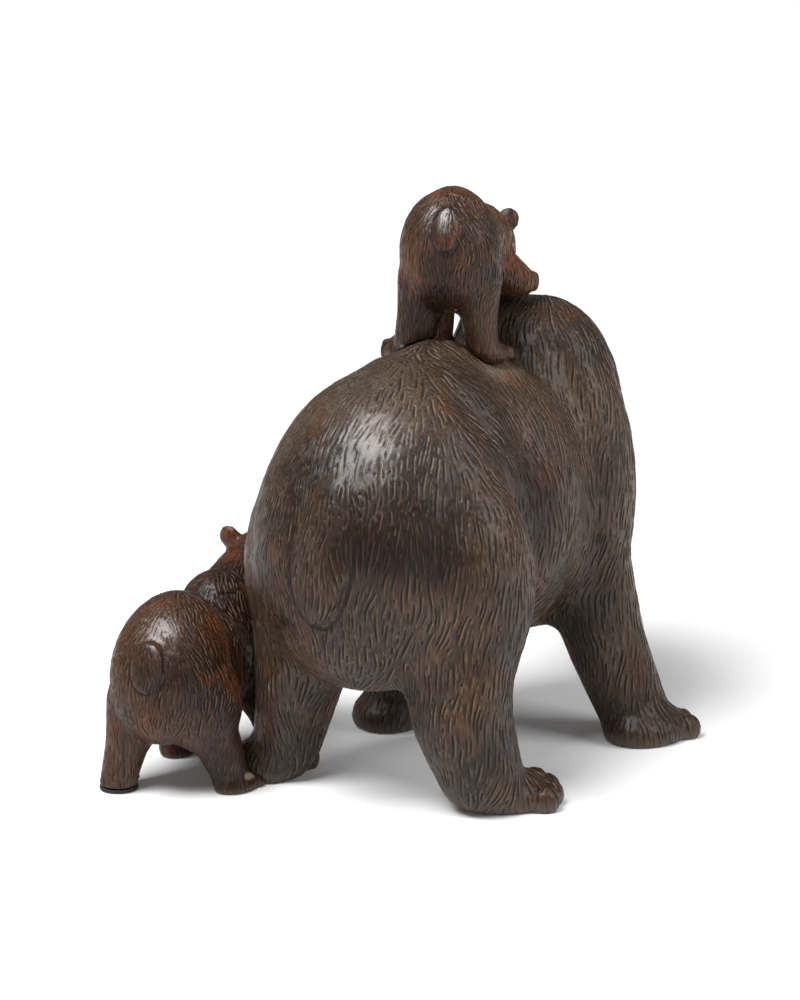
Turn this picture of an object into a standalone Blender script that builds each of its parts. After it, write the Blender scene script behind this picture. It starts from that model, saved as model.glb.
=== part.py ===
"""Carved wooden bear family: a mother bear on all fours, a cub climbing on her back and a cub at her side.

Each bear is kneaded as a carver's clay sketch is. Big lumps and round limbs are joined by a voxel remesh
and softened, then paws, tail and head are added and joined the same way, and creases are gouged in.
Lengths are in metres. A bear's own lumps are in hundredths of its height, so each bear keeps its pose
and proportions at any size. In its own frame a bear faces -Y and has +X on its left.
"""

import math

import bmesh
import bpy
import numpy as np
from mathutils import Euler, Matrix, Vector

# Driving dimensions
MOTHER_HEIGHT = 0.225       # ground to the top of her shoulder hump
CLIMBER_HEIGHT = 0.084      # the climbing cub's soles to the top of its rump
WALKER_HEIGHT = 0.100       # ground to the top of the walking cub's rump
GLUE_GAP = 0.0004           # between a bear and what it is glued to
PAD_THICKNESS = 0.0022      # the rubber pad that levels the walking cub
PAD_RADIUS = 0.0095

# Where the cubs stand, in hundredths of the mother's height in her frame, and degrees turned to the left
CLIMBER_AT = (0.4, 2.9, 91.5)
CLIMBER_HEADING = 22
WALKER_AT = (37.8, 56.4, 0)
WALKER_HEADING = 10

GROUND_REACH = 2            # the cutter below the ground, in the mother's heights each way
BODY_VOXELS = 100           # remesh steps in a bear's height, first for the masses
DETAIL_VOXELS = 130         # and then with paws and head
TRIANGLES = {"mother_bear": 4700, "climbing_cub": 2150, "walking_cub": 2150}

# The mother, in hundredths of her height. A mass is its name, centre, radii and turn in degrees.
MOTHER_MASSES = (
    ("rump", (1.4, 24.2, 58.2), (30, 29, 38), (32, 0, 0)),
    ("belly", (-0.5, 0, 57.5), (26.5, 32, 34), (0, 0, 0)),
    ("back", (1, 9, 64.5), (17, 25, 31.5), (0, 0, 0)),
    ("chest", (-1, -21, 57), (23, 22, 33.5), (0, 0, 0)),
    ("hump", (-3.6, -27, 74), (19, 18.7, 27), (0, 0, 0)),
    ("withers", (4.5, -24.5, 74.5), (16, 17, 27), (0, 0, 0)),
    ("haunch_right", (-19.5, 27.5, 47), (15.5, 16, 27), (0, 0, 0)),
    ("haunch_left", (20, 27, 48), (13, 20, 25), (0, 0, 0)),
    ("shoulder_right", (-14.5, -26, 56), (12.5, 16, 33), (0, 0, 0)),
    ("shoulder_left", (16, -22, 54), (12, 16, 30), (0, 0, 0)),
)
# A limb is a row of joints as x, y, z and radius.
MOTHER_LIMBS = (
    ((-19, 30, 38, 13), (-23, 33.5, 21, 11), (-26, 31, 9, 9.5)),
    ((17, 34, 36, 12.5), (18.5, 36, 20, 9.5), (20.5, 37, 8, 7.7)),
    ((-14.5, -27, 46, 11), (-20.3, -29.5, 22, 9.3), (-26, -31.5, 8, 8.4)),
    ((17, -20, 44, 11), (21, -14, 20, 9.5), (22, -9, 8, 8.5)),
    ((0, -32, 66, 21), (9, -48, 63, 16)),
)
# A paw is the middle of its sole, degrees turned to the left, half length, half width and height.
MOTHER_FEET = (
    ((-28, 24.5, 0), -47, 12.5, 9.5, 8),
    ((25.5, 37.5, 0), 4, 11, 8.8, 9),
    ((-30.5, -31.3, 0), -16, 12, 9.3, 8),
    ((24, -7, 0), 20, 12, 9.5, 8),
)
# A head is its middle, degrees turned to the left and nose up, and the radius of the skull.
MOTHER_HEAD = ((14, -55, 61), 48, -14, 13.5)
# A tail is the lumps of a short flap lying on the rump.
MOTHER_TAIL = (
    ("tail", (-1.3, 52.9, 58), (7.6, 3.2, 16.5), (16, 0, 0)),
)
# A crease is its name, the points it runs through, its half width and its depth. Those under the
# first heading are cut on both sides of the bear.
MOTHER_CREASES = (
    ("flank", ((-14, 23, 97), (-21, 19.5, 78), (-25, 16, 69), (-28, 13, 60), (-30, 12, 51), (-30, 14, 43),
               (-29, 19, 35)), 4, 2.8),
    ("hollow", ((-22, 12, 76), (-26, 7, 60), (-28, 7, 51)), 6, 1.7),
    ("shoulder", ((-15, -17, 91), (-22.5, -18, 73), (-25, -19, 56), (-23, -19, 38), (-17, -17, 29)), 3.5, 1.5),
)

CLIMBER_MASSES = (
    ("rump", (0.6, 2, 62.5), (30.3, 29, 37.2), (14, 0, 0)),
    ("belly", (-1, -24, 60), (26, 30, 28), (0, 0, 0)),
    ("chest", (-2, -48, 57), (25, 24, 27), (0, 0, 0)),
)
CLIMBER_LIMBS = (
    ((14.5, 4, 46, 17.3), (18.5, 6, 24, 13.2), (21.5, 5.5, 8, 12)),
    ((-14, 2, 46, 16.5), (-16.5, 3, 24, 11.2), (-18.5, 2, 6, 9.5)),
    ((13, -48, 50, 16), (19.5, -53, 22, 10.5), (20.5, -54, 0, 9.5)),
    ((-13.5, -45, 50, 14), (-21, -50, 42, 12), (-27, -55, 36, 11)),
    ((-2, -54, 58, 22), (-3.5, -70, 55, 18.5)),
)
CLIMBER_FEET = (
    ((28, -2, -6), 35, 16, 12.5, 18),
    ((-23, -3, -2), -22, 13, 10.5, 10),
    ((21, -57, -10), 5, 15, 10.5, 12),
    ((-28, -56, 30.5), -20, 11.5, 11.5, 15),
)
CLIMBER_HEAD = ((-4, -78, 54), 8, -6, 18.6)
CLIMBER_TAIL = (
    ("tail", (-2, 27.2, 78), (8.5, 3.8, 15.5), (25, 0, 0)),
)
CLIMBER_CREASES = (
    ("flank", ((-9, -2, 106), (-21, -6, 86), (-26, -13, 74), (-27, -20, 64), (-26, -28, 54)), 4.5, 3),
)

WALKER_MASSES = (
    ("rump", (-1.5, 1, 61), (29.5, 29.8, 38.8), (31, 0, 0)),
    ("belly", (-1, -22, 55), (29, 34, 31), (0, 0, 0)),
    ("chest", (0, -48, 58), (27, 25, 34), (0, 0, 0)),
    ("hump", (0, -51, 74), (21, 21, 23.5), (0, 0, 0)),
    ("haunch_right", (-17.5, 0, 46), (21, 19, 27), (0, 0, 0)),
)
WALKER_LIMBS = (
    ((12.3, 8, 44, 16.8), (17, 14, 22, 10.8), (19.5, 17, 8, 9.3)),
    ((-17, 1, 42, 16), (-25.5, -2, 24, 11.7), (-28.5, -6.5, 9, 9.5)),
    ((16, -46, 46, 15), (20, -44, 22, 11), (21, -43, 8, 9.5)),
    ((-15, -54, 46, 15), (-18, -68, 22, 11), (-20, -73, 8, 9.5)),
    ((0, -57, 76, 18.5), (0, -77, 87, 15.5)),
)
WALKER_FEET = (
    ((21, 15.2, 0), 22, 11.5, 10, 10),
    ((-31, -9, 0), -12, 14.5, 10.5, 9),
    ((21, -46, 0), 5, 15, 10.5, 10),
    ((-20, -77, 0), -5, 15, 10.5, 10),
)
WALKER_HEAD = ((-1, -90, 92), 0, 12, 17)
WALKER_TAIL = (
    ("tail", (-4.5, 29.9, 69.5), (9.5, 3.4, 13.5), (20, 0, 0)),
)
WALKER_CREASES = (
    ("flank", ((-5, -29, 98), (-18, -21, 83), (-26, -16, 70), (-29, -14, 57), (-29, -12, 46), (-27, -10, 36)), 4.5, 2.8),
)

# Lumps of a head, in skull radii, with the muzzle along -Y
HEAD_LUMPS = (
    ((0, 0, 0), (1.0, 1.05, 0.92)),
    ((0, -0.45, 0.26), (0.62, 0.66, 0.5)),
    ((0.5, -0.3, -0.3), (0.5, 0.62, 0.5)),
    ((-0.5, -0.3, -0.3), (0.5, 0.62, 0.5)),
    ((0, -1.02, -0.2), (0.56, 0.86, 0.46)),
    ((0, -0.95, -0.5), (0.44, 0.74, 0.3)),
)
HEAD_DETAIL = (
    ((0, -1.72, -0.06), (0.33, 0.22, 0.22)),
    ((0.36, -0.93, 0.2), (0.13, 0.12, 0.11)),
    ((-0.36, -0.93, 0.2), (0.13, 0.12, 0.11)),
    ((0.74, 0.1, 0.78), (0.38, 0.2, 0.4)),
    ((-0.74, 0.1, 0.78), (0.38, 0.2, 0.4)),
)
# Creases of a head, in skull radii: the mouth, and the hollows of the ears as single points
HEAD_CREASES = (
    ("mouth", ((-0.46, -0.8, -0.42), (-0.36, -1.4, -0.46), (0, -1.9, -0.42), (0.36, -1.4, -0.46),
               (0.46, -0.8, -0.42)), 0.11, 0.11),
    ("ear_right", ((-0.76, -0.1, 0.84),), 0.22, 0.2),
    ("ear_left", ((0.76, -0.1, 0.84),), 0.22, 0.2),
)


def clear_scene():
    for obj in list(bpy.data.objects):
        bpy.data.objects.remove(obj)


def collection(name, hidden=False):
    made = bpy.data.collections.new(name)
    bpy.context.scene.collection.children.link(made)
    made.hide_render = hidden
    return made


class Clay:
    """Closed lumps gathered in one bmesh, placed in hundredths of the bear's height."""

    def __init__(self, height, start=None):
        self.bm = bmesh.new()
        self.start = start
        self.unit = height / 100

    def ball(self, centre, radii, turn=Matrix()):
        """An ellipsoid with its radii along its own X, Y and Z before the turn."""
        place = Matrix.LocRotScale(Vector(centre) * self.unit, turn.to_quaternion(), Vector(radii) * self.unit)
        bmesh.ops.create_uvsphere(self.bm, u_segments=24, v_segments=14, radius=1, matrix=place)

    def masses(self, rows):
        for _name, centre, radii, turn in rows:
            self.ball(centre, radii, Euler([math.radians(a) for a in turn]).to_matrix().to_4x4())

    def limb(self, joints):
        """A round limb through its joints."""
        for joint in joints:
            self.ball(joint[:3], (joint[3],) * 3)
        for start, end in zip(joints, joints[1:]):
            a = Vector(start[:3]) * self.unit
            b = Vector(end[:3]) * self.unit
            along = b - a
            place = Matrix.Translation((a + b) / 2) @ along.to_track_quat("Z", "Y").to_matrix().to_4x4()
            bmesh.ops.create_cone(
                self.bm,
                cap_ends=True,
                segments=24,
                radius1=start[3] * self.unit,
                radius2=end[3] * self.unit,
                depth=along.length,
                matrix=place,
            )

    def paw(self, at, heading, length, width, height):
        """A paw without toes, its sole on the level of the point."""
        turn = Matrix.Rotation(math.radians(heading), 4, "Z")
        self.ball(Vector(at) + Vector((0, 0, height * 0.3)), (width, length * 0.94, height * 0.7), turn)

    def toes(self, at, heading, length, width, height, count=4):
        turn = Matrix.Rotation(math.radians(heading), 4, "Z")
        for k in range(count):
            share = k / (count - 1) * 2 - 1
            ahead = length * (0.8 - 0.16 * share * share)
            place = Vector(at) + turn @ Vector((share * width * 0.68, -ahead, height * 0.26))
            self.ball(place, (width * 0.29, length * 0.26, height * 0.47), turn)

    def head(self, lumps, at, heading, pitch, size):
        turn = Matrix.Rotation(math.radians(heading), 4, "Z") @ Matrix.Rotation(math.radians(-pitch), 4, "X")
        for centre, radii in lumps:
            self.ball(Vector(at) + turn @ Vector(centre) * size, Vector(radii) * size, turn)

    def mesh(self, name):
        if self.start:
            self.bm.from_mesh(self.start)
        made = bpy.data.meshes.new(name)
        self.bm.to_mesh(made)
        self.bm.free()
        return made


def modified(mesh, setup, place=None):
    """The mesh after the modifiers that setup adds to a passing object."""
    obj = bpy.data.objects.new("passing", mesh)
    if place:
        obj.matrix_world = place
    bpy.context.scene.collection.objects.link(obj)
    setup(obj.modifiers)
    bpy.context.view_layer.update()
    made = bpy.data.meshes.new_from_object(obj.evaluated_get(bpy.context.evaluated_depsgraph_get()))
    bpy.data.objects.remove(obj)
    return made


def kneaded(mesh, voxel, rounds):
    """The mesh's overlapping lumps as one skin, softened by that many rounds of smoothing."""

    def setup(modifiers):
        remesh = modifiers.new("join", "REMESH")
        remesh.mode = "VOXEL"
        remesh.voxel_size = voxel
        smooth = modifiers.new("soften", "SMOOTH")
        smooth.factor = 0.5
        smooth.iterations = rounds

    return modified(mesh, setup)


def thinned(mesh, triangles):
    mesh.calc_loop_triangles()

    def setup(modifiers):
        decimate = modifiers.new("thin", "DECIMATE")
        decimate.use_collapse_triangulate = True
        decimate.ratio = triangles / len(mesh.loop_triangles)

    return modified(mesh, setup)


def trimmed(mesh, cutter):
    """The mesh less a closed cutter object, both in the same frame."""

    def setup(modifiers):
        cut = modifiers.new("trim", "BOOLEAN")
        cut.operation = "DIFFERENCE"
        cut.solver = "EXACT"
        cut.object = cutter

    return modified(mesh, setup)


def distances(spots, path):
    """Distance of each spot from a path of straight steps, or from its only point."""
    points = [np.array(point) for point in path]
    nearest = np.linalg.norm(spots - points[0], axis=1)
    for a, b in zip(points, points[1:]):
        along = b - a
        share = np.clip((spots - a) @ along / (along @ along), 0, 1)
        nearest = np.minimum(nearest, np.linalg.norm(spots - a - share[:, None] * along, axis=1))
    return nearest


def gouged(mesh, creases):
    """The mesh with valleys pressed in, each given as a path, its half width and its depth."""
    count = len(mesh.vertices)
    spots = np.empty(count * 3)
    mesh.vertices.foreach_get("co", spots)
    spots = spots.reshape(-1, 3)
    normals = np.empty(count * 3)
    mesh.vertex_normals.foreach_get("vector", normals)
    normals = normals.reshape(-1, 3)
    pressed = np.zeros(count)
    for path, width, depth in creases:
        pressed = np.maximum(pressed, depth * np.exp(-((distances(spots, path) / width) ** 2)))
    mesh.vertices.foreach_set("co", (spots - normals * pressed[:, None]).ravel())
    mesh.update()
    return mesh


def bear_creases(unit, creases, at, heading, pitch, size):
    """A bear's creases in metres: its own on both sides, and those of its head."""
    rows = []
    for _name, path, width, depth in creases:
        for side in (1, -1):
            rows.append(([np.array((x * side, y, z)) * unit for x, y, z in path], width * unit, depth * unit))
    turn = Matrix.Rotation(math.radians(heading), 4, "Z") @ Matrix.Rotation(math.radians(-pitch), 4, "X")
    for _name, path, width, depth in HEAD_CREASES:
        placed = [np.array(Vector(at) + turn @ Vector(point) * size) * unit for point in path]
        rows.append((placed, width * size * unit, depth * size * unit))
    return rows


def block(name, low, high, home):
    """A box between two corners, as a cutter."""
    bm = bmesh.new()
    size = Vector(high) - Vector(low)
    middle = (Vector(high) + Vector(low)) / 2
    bmesh.ops.create_cube(bm, size=1, matrix=Matrix.Translation(middle) @ Matrix.Diagonal(size.to_4d()))
    mesh = bpy.data.meshes.new(name)
    bm.to_mesh(mesh)
    bm.free()
    obj = bpy.data.objects.new(name, mesh)
    obj.hide_render = True
    obj.display_type = "WIRE"
    home.objects.link(obj)
    return obj


def bear_mesh(name, height, masses, limbs, feet, head, tail, creases):
    clay = Clay(height)
    clay.masses(masses)
    for joints in limbs:
        clay.limb(joints)
    for paw in feet:
        clay.paw(*paw)
    clay.head(HEAD_LUMPS, *head)
    body = kneaded(clay.mesh(name), height / BODY_VOXELS, 26)
    detail = Clay(height, body)
    for paw in feet:
        detail.toes(*paw)
    detail.masses(tail)
    detail.head(HEAD_DETAIL, *head)
    skin = kneaded(detail.mesh(name), height / DETAIL_VOXELS, 3)
    gouged(skin, bear_creases(height / 100, creases, *head))
    return thinned(skin, TRIANGLES[name])


def grown(mesh, distance, place):
    """A copy moved out along its normals by a distance, in the frame of the given placement."""
    made = mesh.copy()
    count = len(made.vertices)
    spots = np.empty(count * 3)
    made.vertices.foreach_get("co", spots)
    normals = np.empty(count * 3)
    made.vertex_normals.foreach_get("vector", normals)
    made.vertices.foreach_set("co", spots + normals * distance)
    made.transform(place)
    return made


def disc(name, radius, thickness):
    bm = bmesh.new()
    bmesh.ops.create_cone(
        bm,
        cap_ends=True,
        segments=40,
        radius1=radius,
        radius2=radius,
        depth=thickness,
        matrix=Matrix.Translation((0, 0, thickness / 2)),
    )
    made = bpy.data.meshes.new(name)
    bm.to_mesh(made)
    bm.free()
    return made


def ground_middle(objects):
    """The middle of the objects' bounding box, on the ground."""
    corners = [obj.matrix_world @ vertex.co for obj in objects for vertex in obj.data.vertices]
    low = Vector([min(corner[k] for corner in corners) for k in range(3)])
    high = Vector([max(corner[k] for corner in corners) for k in range(3)])
    middle = (low + high) / 2
    return Vector((middle.x, middle.y, low.z))


def material(name, colour, roughness):
    made = bpy.data.materials.new(name)
    made.use_nodes = True
    shader = made.node_tree.nodes["Principled BSDF"]
    shader.inputs["Base Color"].default_value = (*colour, 1)
    shader.inputs["Roughness"].default_value = roughness
    return made


def part(name, mesh, home, group, place, finish):
    for polygon in mesh.polygons:
        polygon.use_smooth = True
    mesh.name = name
    mesh.materials.clear()
    mesh.materials.append(finish)
    obj = bpy.data.objects.new(name, mesh)
    home.objects.link(obj)
    obj.parent = group
    obj.matrix_basis = place
    return obj


def placement(at, heading):
    """Where a cub stands beside or on the mother."""
    spot = Vector(at) * MOTHER_HEIGHT / 100
    return Matrix.Translation(spot) @ Matrix.Rotation(math.radians(heading), 4, "Z")


def main():
    clear_scene()
    home = collection("bear_family")
    cutters = collection("cutters", hidden=True)
    reach = MOTHER_HEIGHT * GROUND_REACH
    ground = block("ground", (-reach, -reach, -reach), (reach, reach, 0), cutters)
    mother_place = Matrix()
    climber_place = placement(CLIMBER_AT, CLIMBER_HEADING)
    walker_place = placement(WALKER_AT, WALKER_HEADING)

    mother = bear_mesh(
        "mother_bear", MOTHER_HEIGHT, MOTHER_MASSES, MOTHER_LIMBS, MOTHER_FEET, MOTHER_HEAD, MOTHER_TAIL,
        MOTHER_CREASES,
    )
    mother = trimmed(mother, ground)
    climber = bear_mesh(
        "climbing_cub", CLIMBER_HEIGHT, CLIMBER_MASSES, CLIMBER_LIMBS, CLIMBER_FEET, CLIMBER_HEAD, CLIMBER_TAIL,
        CLIMBER_CREASES,
    )
    walker = bear_mesh(
        "walking_cub", WALKER_HEIGHT, WALKER_MASSES, WALKER_LIMBS, WALKER_FEET, WALKER_HEAD, WALKER_TAIL,
        WALKER_CREASES,
    )
    walker = trimmed(walker, ground)

    # The cubs are fitted to the mother, a glue gap clear of her
    for place in (climber_place, walker_place):
        stand_in = grown(mother, GLUE_GAP, place.inverted())
        cutter = bpy.data.objects.new("mother_cutter", stand_in)
        cutter.hide_render = True
        cutter.display_type = "WIRE"
        cutters.objects.link(cutter)
        if place is climber_place:
            climber = trimmed(climber, cutter)
        else:
            walker = trimmed(walker, cutter)

    # The raised foot stands on a round rubber pad
    unit = WALKER_HEIGHT / 100
    middle = Vector(WALKER_FEET[0][0]) * unit
    foot_room = block(
        "foot_room",
        (middle.x - PAD_RADIUS * 2, middle.y - PAD_RADIUS * 2, -PAD_THICKNESS),
        (middle.x + PAD_RADIUS * 2, middle.y + PAD_RADIUS * 2, PAD_THICKNESS + GLUE_GAP),
        cutters,
    )
    walker = trimmed(walker, foot_room)
    pad = disc("foot_pad", PAD_RADIUS, PAD_THICKNESS)

    group = bpy.data.objects.new("family_place", None)
    home.objects.link(group)
    brown = material("mother_wood", (0.075, 0.05, 0.035), 0.4)
    red = material("cub_wood", (0.09, 0.035, 0.02), 0.33)
    part("mother_bear", mother, home, group, mother_place, brown)
    part("climbing_cub", climber, home, group, climber_place, red)
    part("walking_cub", walker, home, group, walker_place, red)
    black = material("pad_rubber", (0.012, 0.012, 0.012), 0.7)
    part("foot_pad", pad, home, group, walker_place @ Matrix.Translation(middle), black)
    bpy.context.view_layer.update()
    group.location = -ground_middle([obj for obj in home.objects if obj.type == "MESH"])


main()
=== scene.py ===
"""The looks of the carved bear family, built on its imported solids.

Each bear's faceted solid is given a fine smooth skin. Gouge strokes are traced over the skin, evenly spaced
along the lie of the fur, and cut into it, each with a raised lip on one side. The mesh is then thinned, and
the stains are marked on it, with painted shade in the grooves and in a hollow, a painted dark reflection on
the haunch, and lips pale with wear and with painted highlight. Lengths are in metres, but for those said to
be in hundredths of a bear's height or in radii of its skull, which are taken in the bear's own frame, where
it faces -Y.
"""

import math
import random

import bmesh
import bpy
import numpy as np
from mathutils import Matrix, Vector, noise
from mathutils.bvhtree import BVHTree
from mathutils.kdtree import KDTree


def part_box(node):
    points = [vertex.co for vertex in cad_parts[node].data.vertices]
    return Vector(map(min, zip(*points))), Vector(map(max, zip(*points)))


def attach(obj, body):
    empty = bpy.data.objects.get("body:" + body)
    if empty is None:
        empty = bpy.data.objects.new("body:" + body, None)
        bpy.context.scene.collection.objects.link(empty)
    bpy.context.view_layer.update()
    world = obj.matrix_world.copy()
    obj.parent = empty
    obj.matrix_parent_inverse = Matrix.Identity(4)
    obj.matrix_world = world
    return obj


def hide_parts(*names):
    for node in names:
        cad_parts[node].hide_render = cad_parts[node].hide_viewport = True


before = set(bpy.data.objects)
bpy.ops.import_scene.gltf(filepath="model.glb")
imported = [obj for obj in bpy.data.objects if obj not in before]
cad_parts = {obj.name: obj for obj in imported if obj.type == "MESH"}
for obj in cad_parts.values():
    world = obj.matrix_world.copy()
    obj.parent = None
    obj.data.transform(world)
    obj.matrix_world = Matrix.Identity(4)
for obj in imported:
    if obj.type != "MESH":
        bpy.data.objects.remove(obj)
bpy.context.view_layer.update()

# Each bear's own origin, in hundredths of its height from the low corner of its solid's box, the height
# of that box in the same measure, and the degrees it is turned to its left
BEARS = {
    "mother_bear": {"corner": (41.4, 73.7, 0), "box_height": 101.1, "heading": 0},
    "climbing_cub": {"corner": (30.2, 105.9, 14.3), "box_height": 113.4, "heading": 22},
    "walking_cub": {"corner": (39.4, 121.1, 0), "box_height": 111.1, "heading": 10},
}

# A head is its middle, the degrees it is turned to the left and nose up, and the radius of the skull, in
# hundredths of the bear's height
HEADS = {
    "mother_bear": ((14, -55, 61), 48, -14, 13.5),
    "climbing_cub": ((-4, -78, 54), 8, -6, 18.6),
    "walking_cub": ((-1, -90, 92), 0, 12, 17),
}
# Places and sizes on a head, in radii of the skull, with the muzzle along -Y
EYE = (0.36, -0.95, 0.21)
EYE_RADIUS = 0.13
EYE_RING_RADIUS = EYE_RADIUS * 1.25
EYE_RING_WIDTH = 0.045
EYE_RING_DEPTH = 0.05
EAR = (0.76, 0, 0.84)
EAR_RADIUS = 0.4
NOSE = (0, -1.8, -0.06)
NOSE_RADIUS = 0.36
NOSTRIL = (0.14, -1.92, -0.06)
NOSTRIL_RADIUS = 0.07
NOSTRIL_DEPTH = 0.09
LIP_LINE = ((0, -1.98, -0.16), (0, -1.98, -0.28), (0, -1.98, -0.42))
LIP_LINE_WIDTH = 0.04
LIP_LINE_DEPTH = 0.05
# How far past the nose and the eyes the strokes stop, in their own radii, and how sharply
BARE_NOSE = 1.3
BARE_EYE = 1.9
BARE_EDGE = 1.6
DARK_EDGE = 1.4             # how sharply the black of the nose and the eyes ends

# The spacing of each bear's first skin
SKINS = {"mother_bear": 0.0012, "climbing_cub": 0.00075, "walking_cub": 0.0008}
# Rounds of smoothing on heads and paws, and the further rounds on bodies
CRISP_ROUNDS = 7
SOFT_ROUNDS = 34
# The softer skin begins this many skull radii off the head's middle, and is whole after this many more
SOFT_PAST_HEAD = 1.9
SOFT_HEAD_RUN = 0.8
# It is whole in this height more, in hundredths, once this share of it is passed above the soles
SOFT_PAW_RUN = 9
SOFT_PAST_PAW = 0.7
TRIANGLES = 196000          # of each bear's finished mesh

# How far the fur leans to the tail as it falls: the middle of a patch as y and z and its reach, both in
# hundredths of a bear's height, and the amount
LEANS = (
    ((0, 36), (14, 12), 0.75),
    ((20, 76), (14, 15), -0.5),
    ((40, 34), (10, 14), 0.3),
    ((-30, 40), (9, 20), -0.1),
)
COMMON_LEAN = 0.1
# The lie of the fur on a head, and how many skull radii from its middle it is felt
HEAD_LIE = (0, 1, -0.25)
HEAD_LIE_REACH = 2.3
# How the fur swings about its lie: the amount in radians, the fineness and the shift of each wave
SWINGS = ((0.5, 0.09, 0), (0.4, 0.22, 7))

# The gouge strokes of a bear: the gap between them, their shortest and longest, the half width of the
# groove, its depth, and the distance, half width and height of the lip beside it
STROKES = {
    "mother_bear": {"gap": 0.0021, "length": (0.008, 0.024), "groove": 0.00046, "depth": 0.0005,
                    "lip_at": 0.0009, "lip": 0.00042, "lip_height": 0.00024},
    "climbing_cub": {"gap": 0.00145, "length": (0.005, 0.013), "groove": 0.00032, "depth": 0.00034,
                     "lip_at": 0.0006, "lip": 0.0003, "lip_height": 0.00016},
    "walking_cub": {"gap": 0.0016, "length": (0.005, 0.015), "groove": 0.00035, "depth": 0.00036,
                    "lip_at": 0.00066, "lip": 0.00033, "lip_height": 0.00017},
}
# Shares of the gap: a stroke's step, the nearness to another that ends it, and half a step's straight part
STROKE_STEP = 0.4
STROKE_CROWDING = 0.66
STROKE_STRAIGHT = 0.24
FEWEST_STEPS = 4
STROKE_STRENGTHS = (0.55, 1.2)
# A stroke's start and end: the share of its strength there, and how soon the whole is reached
STROKE_START = (0.25, 5)
STROKE_END = (0.15, 3)
# Strokes on a cub's legs: the least share of their strength, and the height in hundredths where it is whole
CUB_LEG_STRENGTH = 0.65
CUB_LEG_HEIGHT = 45

# The groove round the lower part of a tail: its middle and half widths as x and z, half width and depth, and
# how much flatter than its solid the tail is cut, all in hundredths of the bear's height
TAILS = {
    "mother_bear": {"middle": (-1.3, 58), "half": (7.9, 16.5), "width": 0.3, "depth": 0.3, "flatter": 0.4},
    "climbing_cub": {"middle": (-2, 78), "half": (8.8, 15.5), "width": 0.45, "depth": 0.3, "flatter": 1.3},
    "walking_cub": {"middle": (-4.5, 69.5), "half": (10, 13.5), "width": 0.4, "depth": 0.35, "flatter": 1.2},
}
# How far the groove runs up each side of a tail and the steps it is drawn in, in degrees, how much wider its
# soft edge is, the strength of the painted shade in it, and how many hundredths behind the bear's origin it
# starts
RIM_SWEEP = 105
RIM_STEP = 15
RIM_EDGE = 1.6
RIM_PAINTED_SHADE = 0.7
RIM_BEHIND = 20
# Where the flattening fades, in squared half widths of the tail, and how many hundredths behind it starts
FLAT_EDGE = 1.3
FLAT_BEHIND = 10

# Stains, marks and rubbed places where the strokes are shallow, in hundredths of a bear's height: the kind,
# the path, the reach and the strength. Two of the stains are partly or wholly painted: shade in a hollow,
# and a dark reflection laid over a stain on the haunch. One pale spot is a painted glint.
MARKS = {
    "mother_bear": (
        # A stain across the haunch, darkened further with a painted dark reflection
        ("stain_and_shade", ((-6, 53.5, 60), (-13, 50, 59), (-17.1, 47.3, 58), (-22.5, 42.5, 57)), 7, 1.1),
        # Painted shade in the hollow in front of the haunch
        ("stain_and_shade", ((-23.8, 8.1, 66), (-24.5, 8.1, 55)), 6, 0.85),
        ("stain_and_shade", ((-24, -20, 60), (-22, -20, 40)), 5, 0.4),
        ("stain_and_shade", ((-12, 14, 92), (-16, 4, 88)), 5, 0.7),
        ("stain_and_shade", ((9, 48, 74), (7, 54, 60), (5, 57, 46)), 2.5, 0.5),
        ("stain_and_shade", ((-10.5, 51, 74), (-9, 55, 60), (-8, 55, 48)), 2.5, 0.6),
        ("stain_and_shade", ((1, 57, 50), (-3, 56, 62)), 5, 0.45),
        ("rubbed", ((4.9, 36.1, 86.4), (-3.8, 41, 81.9), (-6, 42, 79)), 8, 0.5),
        ("warm", ((-9.3, -4, 89), (-10, 1, 89)), 6, 1.2),
        ("pale", ((-9.3, -4, 89), (-10, 1, 89)), 6, 0.42),
        ("warm", ((-23.9, 4.4, 69), (-24, 3, 62)), 4, 1.1),
    ),
    "climbing_cub": (
        ("stain_and_shade", ((0, 27, 52), (0, 20, 36)), 12, 0.9),
        ("rubbed", ((1.6, 23.7, 89.3), (-1.5, 30, 78)), 8, 0.9),
        ("stain_and_shade", ((10, 28, 72), (11, 24, 88)), 3.5, 0.5),
        ("stain_and_shade", ((-13, 26, 70), (-13, 20, 60)), 4, 0.6),
        ("warm", ((-12, -2, 99), (6, 4, 99)), 9, 0.8),
        # A painted glint on the left hind foot
        ("pale", ((25.7, 16.2, 5.9), (26.5, 15.2, 5.8)), 1.3, 1.6),
        ("pale", ((-4, 16, 32), (-6, 14.5, 27)), 0.8, 1.2),
    ),
    "walking_cub": (
        ("stain_and_shade", ((-10, 25, 48), (-20, 12, 52)), 7, 0.7),
        ("stain_and_shade", ((6, 26, 40), (4, 22, 32)), 8, 0.5),
        ("stain_and_shade", ((-4, 34, 66), (-3, 34, 60)), 4, 0.7),
        ("rubbed", ((-3, 24, 84), (-11, 20, 83), (-10, 29, 74)), 8, 0.7),
        ("warm", ((-27, -8, 80), (-30, -14, 60)), 11, 1.1),
        ("warm", ((-8, 10, 98), (4, 14, 96)), 8, 0.7),
        ("stain_and_shade", ((-27, -22, 74), (-28, -17, 52)), 6, 0.8),
        ("pale", ((-38.5, -11.8, 7.1), (-38.3, -7, 7.6)), 1.6, 1.6),
        ("crack", ((-8.6, -37.9, 89), (-10.9, -39.7, 88.8), (-13.6, -42.1, 88.5)), 0.7, 1),
    ),
}
# What rubbing takes off the strokes' relief and off their colour
RUBBED_RELIEF = 0.6
RUBBED_COLOUR = 0.5
CRACK_DEPTH = 0.5           # in hundredths of a bear's height, as is the height of the worn soles
SOLE_HEIGHT = 3.2
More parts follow.
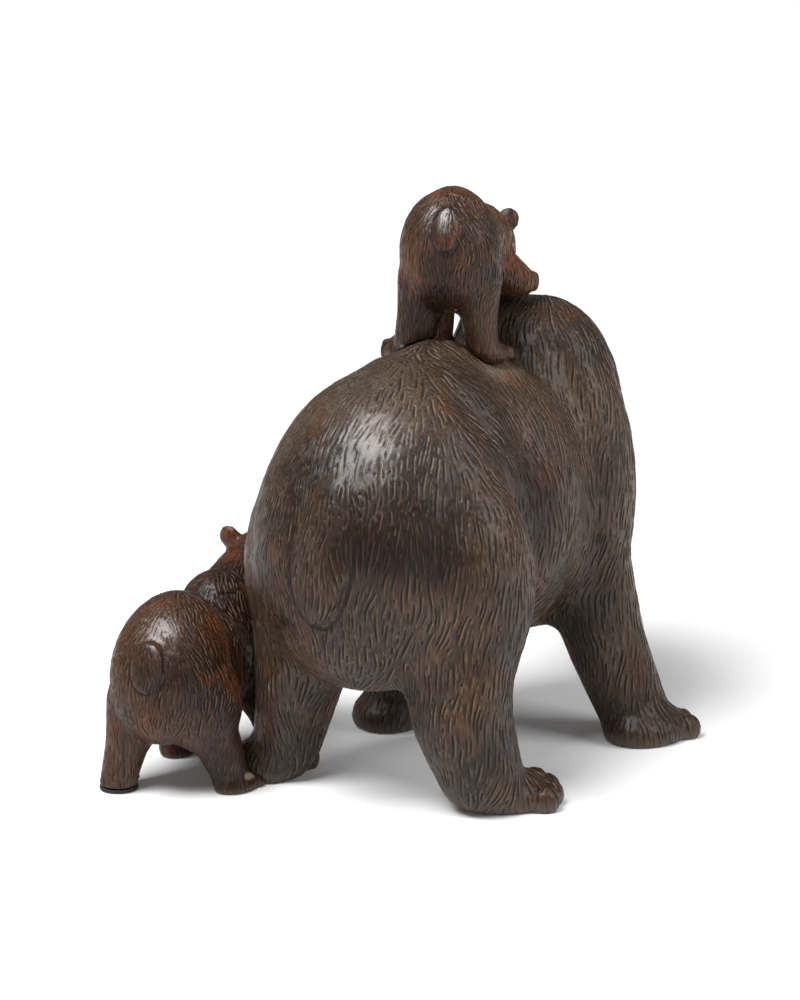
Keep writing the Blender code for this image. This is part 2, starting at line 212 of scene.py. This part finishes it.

# The woods: their ground, its darker shade, red patches and the lips of the strokes, pale with wear and with
# painted highlight, and how red they are
WOODS = {
    "mother_wood": {
        "colours": {
            "Ground": (0.052, 0.034, 0.0225), "Shade": (0.02, 0.013, 0.0085),
            "Warm": (0.07, 0.024, 0.008), "Lip_Highlight_And_Wear": (0.155, 0.102, 0.064),
        },
        "warmth": 0.5,
    },
    "cub_wood": {
        "colours": {
            "Ground": (0.05, 0.0235, 0.012), "Shade": (0.015, 0.0066, 0.0036),
            "Warm": (0.115, 0.03, 0.006), "Lip_Highlight_And_Wear": (0.155, 0.084, 0.046),
        },
        "warmth": 0.7,
    },
}
# Colour of the stains, also used for the painted shade in a hollow and a painted dark reflection
STAIN_AND_SHADE_COLOUR = (0.011, 0.004, 0.0018, 1)
# Painted shade in the grooves, the tail's rim and the crack
GROOVE_SHADE_COLOUR = (0.005, 0.0033, 0.0024, 1)
WORN_SOLE_COLOUR = (0.12, 0.1, 0.085, 1)
# Pale spots: chips of raw wood, and one painted glint
RAW_WOOD_AND_GLINT_COLOUR = (0.33, 0.27, 0.21, 1)
NOSE_COLOUR = (0.006, 0.005, 0.005, 1)
RUBBER_COLOUR = (0.011, 0.011, 0.011, 1)
RUBBER_DUST_COLOUR = (0.032, 0.03, 0.028, 1)
# How a look follows a noise or a mark: the range taken from it, and the range the look is given over that
LOOKS = {
    "groove": ((0.17, 0.65), (0, 1)),
    "lip": ((0.25, 0.85), (0, 1)),
    "shade": ((0.38, 0.62), (0, 1)),
    "red_patches": ((0.52, 0.68), (0, 1)),
    "warm_places": ((0.35, 0.6), (0, 1)),
    "stain_and_shade": ((0.3, 0.6), (0.6, 1.1)),
    "outside_stain_and_shade": ((0, 1), (1, 0.3)),
    "grain": ((0.32, 0.68), (0.45, 1.5)),
    "specks": ((0.35, 0.65), (0.8, 1.2)),
    "pale_hairs": ((0.58, 0.72), (0, 0.35)),
    "lip_highlight_and_wear_patches": ((0.35, 0.65), (0.15, 0.85)),
    "kept_stain": ((0.3, 0.7), (0, 0.4)),
    "roughness": ((0.35, 0.65), (0.34, 0.48)),
    "rough_pores": ((0.35, 0.65), (-0.05, 0.06)),
    "wax": ((0, 1), (0.12, 0.75)),
    "dust": ((0.4, 0.7), (0, 1)),
    "rubber_roughness": ((0.3, 0.7), (0.6, 0.85)),
}
# How much of the painted shade in the grooves and of the wear on the soles shows, and what grooves and
# rubbing do to the roughness
GROOVE_SHADE_SHARE = 0.88
SOLE_SHARE = 0.7
GROOVE_ROUGHNESS = 0.25
RUBBED_SMOOTHNESS = 0.08
# The fine relief beside that of the strands of the grain
PORE_RELIEF = 0.25
GROOVE_RELIEF = 0.9
LIP_RELIEF = 0.5
WOOD_SHINE = 0.18
WAX_ROUGHNESS = 0.3
GRAIN_DEPTH = 0.0003
GRAIN_STRENGTH = 0.6
RUBBER_DUST_DEPTH = 0.0002

# The levelling pad's outline from the middle of its top to that of its underside, as shares of its radius
# and of its thickness
PAD_OUTLINE = (
    (0, 1), (0.93, 1), (0.985, 0.88), (1, 0.68), (0.975, 0.55),
    (0.975, 0.42), (1, 0.3), (0.985, 0.12), (0.93, 0), (0, 0),
)
PAD_SIDES = 72
SAME_POINT = 1e-6

CAMERA_HEADING = 215
CAMERA_HEIGHT_ANGLE = 14
CAMERA_DISTANCE = 1.5
CAMERA_LENS = 108
CAMERA_SENSOR = 36
CAMERA_TARGET = (0.0088, 0.0185, 0.1304)
# The soft lights: heading and height in degrees, distance, width and height, and power in watts
SOFTBOXES = {
    "key": (CAMERA_HEADING - 47, 60, 1.5, (0.85, 0.75), 39),
    "fill": (CAMERA_HEADING + 72, 32, 1.8, (1.0, 1.2), 20),
}
ROOM_LIGHT = 0.17
FLOOR_REACH = 20
FLOOR_COLOUR = (0.85, 0.85, 0.85, 1)
FLOOR_ROUGHNESS = 0.9
# The floor's glow under the bears and beyond them, and where it starts to rise and is whole
FLOOR_GLOW = (0.04, 1)
FLOOR_GLOW_RUN = (0.35, 2.2)


def turned(heading, pitch=0):
    return Matrix.Rotation(math.radians(heading), 4, "Z") @ Matrix.Rotation(math.radians(-pitch), 4, "X")


def own_frame(name):
    """The frame a bear is carved in, and the hundredth of its height."""
    bear = BEARS[name]
    low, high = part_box(name)
    unit = (high.z - low.z) / bear["box_height"]
    return Matrix.Translation(low + Vector(bear["corner"]) * unit) @ turned(bear["heading"]), unit


def skull(name, unit):
    """The radius of a bear's skull."""
    return HEADS[name][3] * unit


def on_head(name, spot, unit):
    """A place on a bear's head, in its own frame in metres."""
    at, heading, pitch, size = HEADS[name]
    return (Vector(at) + turned(heading, pitch) @ Vector(spot) * size) * unit


def on_both_sides(name, spot, unit):
    """The same place on the left and on the right of a bear's head."""
    x, y, z = spot
    return [on_head(name, (x * side, y, z), unit) for side in (1, -1)]


def placed(name, data):
    """A new object in the scene."""
    made = bpy.data.objects.new(name, data)
    bpy.context.scene.collection.objects.link(made)
    return made


def changed(mesh, setup):
    """The mesh after the modifiers that setup adds to a passing object."""
    passing = placed("passing", mesh)
    setup(passing.modifiers)
    bpy.context.view_layer.update()
    made = bpy.data.meshes.new_from_object(passing.evaluated_get(bpy.context.evaluated_depsgraph_get()))
    bpy.data.objects.remove(passing)
    return made


def softened(mesh, rounds, voxel=None):
    """The mesh smoothed, and first made a close, even skin if a voxel is given."""

    def setup(modifiers):
        if voxel:
            remesh = modifiers.new("skin", "REMESH")
            remesh.mode = "VOXEL"
            remesh.voxel_size = voxel
        smooth = modifiers.new("soften", "SMOOTH")
        smooth.factor = 0.5
        smooth.iterations = rounds

    return changed(mesh, setup)


def divided(mesh):
    """The mesh with every face cut in four."""

    def setup(modifiers):
        modifiers.new("finer", "SUBSURF").levels = 1

    return changed(mesh, setup)


def thinned(mesh, triangles):
    """The mesh brought down to a number of triangles."""
    mesh.calc_loop_triangles()

    def setup(modifiers):
        decimate = modifiers.new("thin", "DECIMATE")
        decimate.use_collapse_triangulate = True
        decimate.ratio = min(1, triangles / len(mesh.loop_triangles))

    return changed(mesh, setup)


def lathed(outline, sides):
    """The outline turned once round the Z axis."""

    def setup(modifiers):
        screw = modifiers.new("turn", "SCREW")
        screw.steps = sides
        screw.render_steps = sides
        screw.use_merge_vertices = True
        screw.merge_threshold = SAME_POINT

    return changed(outline, setup)


def spots_of(mesh):
    spots = np.empty(len(mesh.vertices) * 3)
    mesh.vertices.foreach_get("co", spots)
    return spots.reshape(-1, 3)


def normals_of(mesh):
    normals = np.empty(len(mesh.vertices) * 3)
    mesh.vertex_normals.foreach_get("vector", normals)
    return normals.reshape(-1, 3)


def move_spots(mesh, spots):
    mesh.vertices.foreach_set("co", spots.ravel())
    mesh.update()


def shade_smooth(mesh):
    for polygon in mesh.polygons:
        polygon.use_smooth = True


def smooth_skin(name, mesh, unit):
    """The skin of a bear, softest on its body so that no facets show, and crisper on its head and paws."""
    skin = softened(mesh, CRISP_ROUNDS, SKINS[name])
    crisp_spots = spots_of(skin)
    soft_skin = softened(skin, SOFT_ROUNDS)
    soft_spots = spots_of(soft_skin)
    bpy.data.meshes.remove(soft_skin)
    at, _heading, _pitch, size = HEADS[name]
    from_head = np.linalg.norm(crisp_spots / unit - np.array(at), axis=1) / size
    past_head = np.clip((from_head - SOFT_PAST_HEAD) / SOFT_HEAD_RUN, 0, 1)
    past_paws = np.clip(crisp_spots[:, 2] / unit / SOFT_PAW_RUN - SOFT_PAST_PAW, 0, 1)
    share = past_head * past_paws
    move_spots(skin, crisp_spots + (soft_spots - crisp_spots) * share[:, None])
    return skin


def lie_of_fur(name, point, normal, unit):
    """Which way the fur lies on the skin at a point of the bear's own frame."""
    spot = point / unit
    lean = COMMON_LEAN
    for (y, z), (reach_y, reach_z), amount in LEANS:
        lean += amount * math.exp(-(((spot.y - y) / reach_y) ** 2) - ((spot.z - z) / reach_z) ** 2)
    lie = Vector((0, lean, -1)).normalized()
    at, heading, pitch, size = HEADS[name]
    near_head = min(1, max(0, HEAD_LIE_REACH - (spot - Vector(at)).length / size))
    lie = lie.lerp(turned(heading, pitch) @ Vector(HEAD_LIE), near_head)
    lie -= normal * lie.dot(normal)
    swing = sum(
        amount * noise.noise(spot * fineness + Vector((shift, shift, shift)))
        for amount, fineness, shift in SWINGS
    )
    lie.rotate(Matrix.Rotation(swing, 3, normal))
    return lie.normalized()


class Strokes:
    """Evenly spaced gouge strokes over a skin, kept as points with a direction, a side and a strength."""

    def __init__(self, name, skin, unit):
        self.name = name
        self.unit = unit
        self.sizes = STROKES[name]
        self.rows = []
        self.cells = {}
        self.dice = random.Random(len(name) * 31)
        self.tree = BVHTree.FromPolygons(
            [vertex.co for vertex in skin.vertices], [polygon.vertices for polygon in skin.polygons]
        )
        seeds = self.dice.sample(range(len(skin.vertices)), len(skin.vertices) * 2 // 5)
        for seed in seeds:
            self.trace(skin.vertices[seed].co.copy())
        self.table = np.array(self.rows)
        self.finder = KDTree(len(self.rows))
        for index, row in enumerate(self.rows):
            self.finder.insert(row[:3], index)
        self.finder.balance()

    def cell(self, point):
        gap = self.sizes["gap"]
        return int(point.x // gap), int(point.y // gap), int(point.z // gap)

    def crowded(self, point, gap):
        """Whether an earlier stroke is nearer than the gap."""
        a, b, c = self.cell(point)
        for i in (a - 1, a, a + 1):
            for j in (b - 1, b, b + 1):
                for k in (c - 1, c, c + 1):
                    for other in self.cells.get((i, j, k), ()):
                        if (other - point).length < gap:
                            return True
        return False

    def trace(self, point):
        """Follows the lie of the fur from a point, and keeps the stroke if it gets long enough."""
        gap = self.sizes["gap"]
        if self.crowded(point, gap):
            return
        step = gap * STROKE_STEP
        shortest, longest = self.sizes["length"]
        count = int(self.dice.uniform(shortest, longest) / step)
        path = []
        for _ in range(count):
            spot, normal, _face, _distance = self.tree.find_nearest(point)
            if self.crowded(spot, gap * STROKE_CROWDING):
                break
            along = lie_of_fur(self.name, spot, normal, self.unit)
            path.append((spot, along, normal.cross(along)))
            point = spot + along * step
        if len(path) < FEWEST_STEPS:
            return
        strength = self.dice.uniform(*STROKE_STRENGTHS)
        if self.name != "mother_bear":
            height = path[0][0].z / self.unit
            strength *= min(1, max(CUB_LEG_STRENGTH, height / CUB_LEG_HEIGHT))
        start, rise = STROKE_START
        end, fall = STROKE_END
        for k, (spot, along, across) in enumerate(path):
            share = k / (len(path) - 1)
            taper = min(1, share * rise + start, (1 - share) * fall + end)
            self.rows.append((*spot, *along, *across, strength * taper))
            self.cells.setdefault(self.cell(spot), []).append(spot)

    def cut(self, spots):
        """How much groove and how much lip there is at each spot, from 0 to about 1."""
        nearest = np.array([self.finder.find(spot)[1] for spot in spots])
        rows = self.table[nearest]
        apart = spots - rows[:, :3]
        across = (apart * rows[:, 6:9]).sum(1)
        along = np.abs((apart * rows[:, 3:6]).sum(1))
        past = np.maximum(0, along - self.sizes["gap"] * STROKE_STRAIGHT) / self.sizes["groove"]
        strength = rows[:, 9] * np.exp(-(past**2))
        groove = strength * np.exp(-((across / self.sizes["groove"]) ** 2))
        lip = strength * np.exp(-(((across - self.sizes["lip_at"]) / self.sizes["lip"]) ** 2))
        return groove, lip


def near(spots, place, reach):
    """A soft round patch about a place, 1 at its middle."""
    apart = np.linalg.norm(spots - np.array(place), axis=1) / reach
    return np.exp(-(apart**2))


def along_path(spots, path):
    """Distance of each spot from a path of straight steps."""
    nearest = np.full(len(spots), np.inf)
    for a, b in zip(path, path[1:]):
        a = np.array(a)
        step = np.array(b) - a
        share = np.clip((spots - a) @ step / (step @ step), 0, 1)
        nearest = np.minimum(nearest, np.linalg.norm(spots - a - share[:, None] * step, axis=1))
    return nearest


def marks_of(name, kind, spots, unit):
    """How strongly each spot carries a kind of stain or mark."""
    strength = np.zeros(len(spots))
    for mark, path, reach, amount in MARKS[name]:
        if mark == kind:
            apart = along_path(spots, [np.array(point) * unit for point in path]) / (reach * unit)
            strength = np.maximum(strength, amount * np.exp(-(apart**2)))
    return strength


def fur_left(name, spots, unit, rubbed_off):
    """The share of the strokes at each spot: none on the nose, eyes and ears, few where it is rubbed."""
    size = skull(name, unit)
    bare = near(spots, on_head(name, NOSE, unit), size * NOSE_RADIUS * BARE_NOSE)
    for eye in on_both_sides(name, EYE, unit):
        bare = np.maximum(bare, near(spots, eye, size * EYE_RADIUS * BARE_EYE))
    for ear in on_both_sides(name, EAR, unit):
        bare = np.maximum(bare, near(spots, ear, size * EAR_RADIUS))
    rubbed = marks_of(name, "rubbed", spots, unit)
    return (1 - np.clip(bare * BARE_EDGE, 0, 1)) * (1 - rubbed_off * rubbed)


def face_relief(name, spots, unit):
    """Depth of the rings round the eyes, the nostrils and the line under the nose."""
    size = skull(name, unit)
    depth = np.zeros(len(spots))
    for eye, nostril in zip(on_both_sides(name, EYE, unit), on_both_sides(name, NOSTRIL, unit)):
        from_eye = np.linalg.norm(spots - np.array(eye), axis=1) / size
        from_ring = (from_eye - EYE_RING_RADIUS) / EYE_RING_WIDTH
        depth += EYE_RING_DEPTH * size * np.exp(-(from_ring**2))
        depth += NOSTRIL_DEPTH * size * near(spots, nostril, size * NOSTRIL_RADIUS)
    from_line = along_path(spots, [on_head(name, spot, unit) for spot in LIP_LINE])
    depth += LIP_LINE_DEPTH * size * np.exp(-((from_line / (size * LIP_LINE_WIDTH)) ** 2))
    return depth


def tail_rim(name, spots, unit):
    """The cut that sets the lower part of the tail off the rump, from 0 to 1."""
    tail = TAILS[name]
    x, z = tail["middle"]
    wide, tall = tail["half"]
    angles = np.radians(np.arange(-RIM_SWEEP, RIM_SWEEP + 1, RIM_STEP))
    ring = np.stack([x + wide * np.sin(angles), z - tall * np.cos(angles)], axis=1) * unit
    apart = along_path(spots[:, [0, 2]], ring) / (tail["width"] * unit * RIM_EDGE)
    return np.exp(-(apart**2)) * (spots[:, 1] > RIM_BEHIND * unit)


def tail_flatness(name, spots, unit):
    """How much of a spot is on the tail, fading past its edge, from 0 to 1."""
    tail = TAILS[name]
    x, z = tail["middle"]
    wide, tall = tail["half"]
    apart = ((spots[:, 0] / unit - x) / wide) ** 2 + ((spots[:, 2] / unit - z) / tall) ** 2
    return np.exp(-((apart / FLAT_EDGE) ** 2)) * (spots[:, 1] > FLAT_BEHIND * unit)


def cut_relief(name, skin, strokes, unit):
    """Cuts the strokes, the face, the tail and the crack into a skin."""
    spots = spots_of(skin)
    groove, lip = strokes.cut(spots)
    sizes, tail = STROKES[name], TAILS[name]
    fur = fur_left(name, spots, unit, RUBBED_RELIEF)
    raised = fur * (lip * sizes["lip_height"] - groove * sizes["depth"]) - face_relief(name, spots, unit)
    raised -= tail_rim(name, spots, unit) * tail["depth"] * unit
    raised -= tail_flatness(name, spots, unit) * tail["flatter"] * unit
    raised -= marks_of(name, "crack", spots, unit) * CRACK_DEPTH * unit
    move_spots(skin, spots + normals_of(skin) * raised[:, None])


def marked(mesh, name, values):
    attribute = mesh.attributes.new(name, "FLOAT", "POINT")
    attribute.data.foreach_set("value", np.clip(values, 0, 1).astype(np.float32))


def mark_finish(name, carved, strokes, unit):
    """Leaves the strokes, stains and worn places on a mesh, for its material to read; the grooves and two
    stains carry painted shade or reflection, and the lips partly painted highlight.
    """
    spots = spots_of(carved)
    groove, lip = strokes.cut(spots)
    fur = fur_left(name, spots, unit, RUBBED_COLOUR)
    # The groove mark carries painted shade: in the grooves, the tail's rim and the crack
    rim_shade = tail_rim(name, spots, unit) * RIM_PAINTED_SHADE
    crack = marks_of(name, "crack", spots, unit)
    marked(carved, "groove", np.maximum(groove * fur, np.maximum(rim_shade, crack)))
    marked(carved, "lip", lip * fur)
    for kind in ("stain_and_shade", "warm", "pale", "rubbed"):
        marked(carved, kind, marks_of(name, kind, spots, unit))
    on_floor = BEARS[name]["corner"][2] == 0
    marked(carved, "sole", on_floor * (1 - spots[:, 2] / (unit * SOLE_HEIGHT)))
    size = skull(name, unit)
    dark = near(spots, on_head(name, NOSE, unit), size * NOSE_RADIUS)
    for eye in on_both_sides(name, EYE, unit):
        dark = np.maximum(dark, near(spots, eye, size * EYE_RADIUS))
    marked(carved, "dark", dark * DARK_EDGE)


def carved_bear(name, finish):
    """A bear's visible piece: its solid's form, with the fur cut in."""
    place, unit = own_frame(name)
    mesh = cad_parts[name].data.copy()
    mesh.transform(place.inverted())
    skin = smooth_skin(name, mesh, unit)
    strokes = Strokes(name, skin, unit)
    skin = divided(skin)
    cut_relief(name, skin, strokes, unit)
    carved = thinned(skin, TRIANGLES)
    mark_finish(name, carved, strokes, unit)
    carved.transform(place)
    low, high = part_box(name)
    move_spots(carved, np.clip(spots_of(carved), np.array(low), np.array(high)))
    shade_smooth(carved)
    carved.name = name + "_carving"
    carved.materials.clear()
    carved.materials.append(finish)
    piece = placed(name + "_carving", carved)
    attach(piece, "root")
    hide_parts(name)


class Bench:
    """Where the nodes of one material or group are made and joined."""

    def __init__(self, tree):
        self.nodes = tree.nodes
        self.links = tree.links

    def give(self, target, value):
        """Sets an input to a value, or joins it to the output the value comes from."""
        if isinstance(value, bpy.types.NodeSocket):
            self.links.new(value, target)
        else:
            target.default_value = value

    def noise(self, scale, detail, stretch=(1, 1, 1)):
        """Noise over the object's own coordinates, drawn out along an axis with a small share."""
        coordinates = self.nodes.new("ShaderNodeTexCoord")
        mapping = self.nodes.new("ShaderNodeMapping")
        self.give(mapping.inputs["Scale"], stretch)
        self.give(mapping.inputs["Vector"], coordinates.outputs["Object"])
        made = self.nodes.new("ShaderNodeTexNoise")
        self.give(made.inputs["Scale"], scale)
        self.give(made.inputs["Detail"], detail)
        self.give(made.inputs["Vector"], mapping.outputs["Vector"])
        return made.outputs["Fac"]

    def ranged(self, value, given, wanted):
        """The value brought from the given range to the wanted one, and held inside it."""
        made = self.nodes.new("ShaderNodeMapRange")
        self.give(made.inputs["Value"], value)
        self.give(made.inputs["From Min"], given[0])
        self.give(made.inputs["From Max"], given[1])
        self.give(made.inputs["To Min"], wanted[0])
        self.give(made.inputs["To Max"], wanted[1])
        return made.outputs["Result"]

    def mixed(self, share, first, second):
        """The first colour, with a share of the second."""
        made = self.nodes.new("ShaderNodeMix")
        made.data_type = "RGBA"
        for place, value in ((0, share), (6, first), (7, second)):
            self.give(made.inputs[place], value)
        return made.outputs[2]

    def worked(self, operation, first, second):
        made = self.nodes.new("ShaderNodeMath")
        made.operation = operation
        self.give(made.inputs[0], first)
        self.give(made.inputs[1], second)
        return made.outputs[0]

    def times(self, first, second):
        return self.worked("MULTIPLY", first, second)

    def plus(self, first, second):
        return self.worked("ADD", first, second)

    def minus(self, first, second):
        return self.worked("SUBTRACT", first, second)

    def brightened(self, colour, amount):
        made = self.nodes.new("ShaderNodeVectorMath")
        made.operation = "SCALE"
        self.give(made.inputs[0], colour)
        self.give(made.inputs["Scale"], amount)
        return made.outputs[0]

    def bumped(self, height, depth, strength=1):
        made = self.nodes.new("ShaderNodeBump")
        self.give(made.inputs["Height"], height)
        self.give(made.inputs["Distance"], depth)
        self.give(made.inputs["Strength"], strength)
        return made.outputs["Normal"]


def gouged_wood_group():
    """Stained wood under gouge strokes: brown ground, red warm patches, lips pale with wear and with painted
    highlight, and grooves darkened with painted shade.
    """
    group = bpy.data.node_groups.new("gouged_wood", "ShaderNodeTree")
    for name in ("Ground", "Shade", "Warm", "Lip_Highlight_And_Wear"):
        group.interface.new_socket(name=name, in_out="INPUT", socket_type="NodeSocketColor")
    group.interface.new_socket(name="Warmth", in_out="INPUT", socket_type="NodeSocketFloat")
    group.interface.new_socket(name="Colour", in_out="OUTPUT", socket_type="NodeSocketColor")
    for name in ("Roughness", "Wax", "Height"):
        group.interface.new_socket(name=name, in_out="OUTPUT", socket_type="NodeSocketFloat")
    bench = Bench(group)
    given = group.nodes.new("NodeGroupInput").outputs
    made = group.nodes.new("NodeGroupOutput").inputs
    marks = {}
    for name in ("groove", "lip", "dark", "stain_and_shade", "warm", "pale", "rubbed", "sole"):
        attribute = group.nodes.new("ShaderNodeAttribute")
        attribute.attribute_name = name
        marks[name] = attribute.outputs["Fac"]
    groove = bench.ranged(marks["groove"], *LOOKS["groove"])
    lip = bench.ranged(marks["lip"], *LOOKS["lip"])

    broad = bench.noise(scale=22, detail=3)
    patches = bench.noise(scale=38, detail=4)
    worn = bench.noise(scale=55, detail=4)
    strands = bench.noise(scale=900, detail=3, stretch=(1, 1, 0.14))
    pores = bench.noise(scale=2600, detail=2)

    colour = bench.mixed(bench.ranged(broad, *LOOKS["shade"]), given["Shade"], given["Ground"])
    reddened = bench.times(bench.ranged(patches, *LOOKS["red_patches"]), given["Warmth"])
    warmed = bench.times(marks["warm"], bench.ranged(worn, *LOOKS["warm_places"]))
    colour = bench.mixed(bench.worked("MAXIMUM", reddened, warmed), colour, given["Warm"])
    # Stains, with the painted shade of a hollow and a painted dark reflection on the haunch
    stain_and_shade_amount = bench.times(marks["stain_and_shade"], bench.ranged(patches, *LOOKS["stain_and_shade"]))
    colour = bench.mixed(stain_and_shade_amount, colour, STAIN_AND_SHADE_COLOUR)
    grain = bench.ranged(strands, *LOOKS["grain"])
    specks = bench.ranged(pores, *LOOKS["specks"])
    colour = bench.brightened(colour, bench.times(grain, specks))
    outside_stain_and_shade = bench.ranged(marks["stain_and_shade"], *LOOKS["outside_stain_and_shade"])
    hairs = bench.times(bench.ranged(strands, *LOOKS["pale_hairs"]), outside_stain_and_shade)
    colour = bench.mixed(hairs, colour, given["Lip_Highlight_And_Wear"])
    # Pale lips: part wear, part painted highlight
    lip_highlight_and_wear = bench.times(lip, bench.ranged(worn, *LOOKS["lip_highlight_and_wear_patches"]))
    colour = bench.mixed(bench.times(lip_highlight_and_wear, outside_stain_and_shade), colour, given["Lip_Highlight_And_Wear"])
    # Painted shade in the grooves, the tail's rim and the crack
    colour = bench.mixed(bench.times(groove, GROOVE_SHADE_SHARE), colour, GROOVE_SHADE_COLOUR)
    colour = bench.mixed(bench.times(marks["sole"], SOLE_SHARE), colour, WORN_SOLE_COLOUR)
    # Pale spots: chips of raw wood, and one painted glint
    chips_and_glint = bench.minus(marks["pale"], bench.ranged(pores, *LOOKS["kept_stain"]))
    colour = bench.mixed(chips_and_glint, colour, RAW_WOOD_AND_GLINT_COLOUR)
    colour = bench.mixed(marks["dark"], colour, NOSE_COLOUR)
    bench.give(made["Colour"], colour)

    rough = bench.ranged(worn, *LOOKS["roughness"])
    rough = bench.plus(rough, bench.times(groove, GROOVE_ROUGHNESS))
    rough = bench.minus(rough, bench.times(marks["rubbed"], RUBBED_SMOOTHNESS))
    rough = bench.plus(rough, bench.ranged(pores, *LOOKS["rough_pores"]))
    bench.give(made["Roughness"], rough)
    bench.give(made["Wax"], bench.ranged(marks["rubbed"], *LOOKS["wax"]))
    height = bench.plus(strands, bench.times(pores, PORE_RELIEF))
    height = bench.minus(height, bench.times(groove, GROOVE_RELIEF))
    height = bench.plus(height, bench.times(lip, LIP_RELIEF))
    bench.give(made["Height"], height)
    return group


def new_finish(name):
    """A new material, its shader's inputs, and the bench its nodes are made on."""
    made = bpy.data.materials.new(name)
    made.use_nodes = True
    return made, made.node_tree.nodes["Principled BSDF"].inputs, Bench(made.node_tree)


def waxed_wood(name, group):
    """The stained and waxed wood of a bear, with the colours of its own wood."""
    made, shader, bench = new_finish(name)
    wood = bench.nodes.new("ShaderNodeGroup")
    wood.node_tree = group
    for place, colour in WOODS[name]["colours"].items():
        bench.give(wood.inputs[place], (*colour, 1))
    bench.give(wood.inputs["Warmth"], WOODS[name]["warmth"])
    bench.give(shader["Base Color"], wood.outputs["Colour"])
    bench.give(shader["Roughness"], wood.outputs["Roughness"])
    bench.give(shader["Specular IOR Level"], WOOD_SHINE)
    bench.give(shader["Coat Weight"], wood.outputs["Wax"])
    bench.give(shader["Coat Roughness"], WAX_ROUGHNESS)
    bench.give(shader["Normal"], bench.bumped(wood.outputs["Height"], GRAIN_DEPTH, GRAIN_STRENGTH))
    return made


def pad_rubber():
    """Black rubber with a little dust in it."""
    made, shader, bench = new_finish("pad_rubber")
    dust = bench.noise(scale=700, detail=4)
    colour = bench.mixed(bench.ranged(dust, *LOOKS["dust"]), RUBBER_COLOUR, RUBBER_DUST_COLOUR)
    bench.give(shader["Base Color"], colour)
    bench.give(shader["Roughness"], bench.ranged(dust, *LOOKS["rubber_roughness"]))
    bench.give(shader["Normal"], bench.bumped(dust, RUBBER_DUST_DEPTH))
    return made


def levelling_pad():
    """A moulded disc with a rounded rim and a shallow groove round its edge."""
    low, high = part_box("foot_pad")
    radius = (high.x - low.x) / 2
    thick = high.z - low.z
    edge = [(radius * out, 0, thick * up) for out, up in PAD_OUTLINE]
    outline = bpy.data.meshes.new("pad_outline")
    outline.from_pydata(edge, [(k, k + 1) for k in range(len(edge) - 1)], [])
    mesh = lathed(outline, PAD_SIDES)
    mesh.name = "levelling_pad"
    mesh.transform(Matrix.Translation(((low.x + high.x) / 2, (low.y + high.y) / 2, low.z)))
    shade_smooth(mesh)
    mesh.materials.append(pad_rubber())
    piece = placed("levelling_pad", mesh)
    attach(piece, "root")
    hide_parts("foot_pad")


def studio_floor():
    """A plain pale floor, which glows more the farther it is from the bears."""
    bm = bmesh.new()
    bmesh.ops.create_grid(bm, x_segments=1, y_segments=1, size=FLOOR_REACH)
    mesh = bpy.data.meshes.new("floor")
    bm.to_mesh(mesh)
    bm.free()
    paint, shader, bench = new_finish("floor_paint")
    bench.give(shader["Base Color"], FLOOR_COLOUR)
    bench.give(shader["Roughness"], FLOOR_ROUGHNESS)
    bench.give(shader["Emission Strength"], 1)
    coordinates = bench.nodes.new("ShaderNodeTexCoord")
    apart = bench.nodes.new("ShaderNodeVectorMath")
    apart.operation = "LENGTH"
    bench.give(apart.inputs[0], coordinates.outputs["Object"])
    glow = bench.ranged(apart.outputs["Value"], FLOOR_GLOW_RUN, FLOOR_GLOW)
    bench.give(shader["Emission Color"], glow)
    mesh.materials.append(paint)
    floor = placed("floor", mesh)


def seen_from(name, data, heading, height_angle, distance):
    """A light or a camera, set at a heading and a height angle and turned to the bears."""
    a, e = math.radians(heading), math.radians(height_angle)
    direction = Vector((math.sin(a) * math.cos(e), -math.cos(a) * math.cos(e), math.sin(e)))
    made = placed(name, data)
    made.location = Vector(CAMERA_TARGET) + direction * distance
    made.rotation_euler = direction.to_track_quat("Z", "Y").to_euler()
    return made


def studio():
    world = bpy.data.worlds.new("studio")
    bpy.context.scene.world = world
    world.use_nodes = True
    background = world.node_tree.nodes["Background"]
    background.inputs["Color"].default_value = (1, 1, 1, 1)
    background.inputs["Strength"].default_value = ROOM_LIGHT
    for name, (heading, height_angle, distance, size, power) in SOFTBOXES.items():
        light = bpy.data.lights.new(name, "AREA")
        light.shape = "RECTANGLE"
        light.size, light.size_y = size
        light.energy = power
        seen_from(name, light, heading, height_angle, distance)
    bpy.context.scene.view_settings.view_transform = "Standard"
    camera = bpy.data.cameras.new("camera")
    camera.lens = CAMERA_LENS
    camera.sensor_width = CAMERA_SENSOR
    eye = seen_from("camera", camera, CAMERA_HEADING, CAMERA_HEIGHT_ANGLE, CAMERA_DISTANCE)
    bpy.context.scene.camera = eye


def main():
    group = gouged_wood_group()
    mother_wood = waxed_wood("mother_wood", group)
    cub_wood = waxed_wood("cub_wood", group)
    carved_bear("mother_bear", mother_wood)
    carved_bear("climbing_cub", cub_wood)
    carved_bear("walking_cub", cub_wood)
    levelling_pad()
    studio_floor()
    studio()


main()
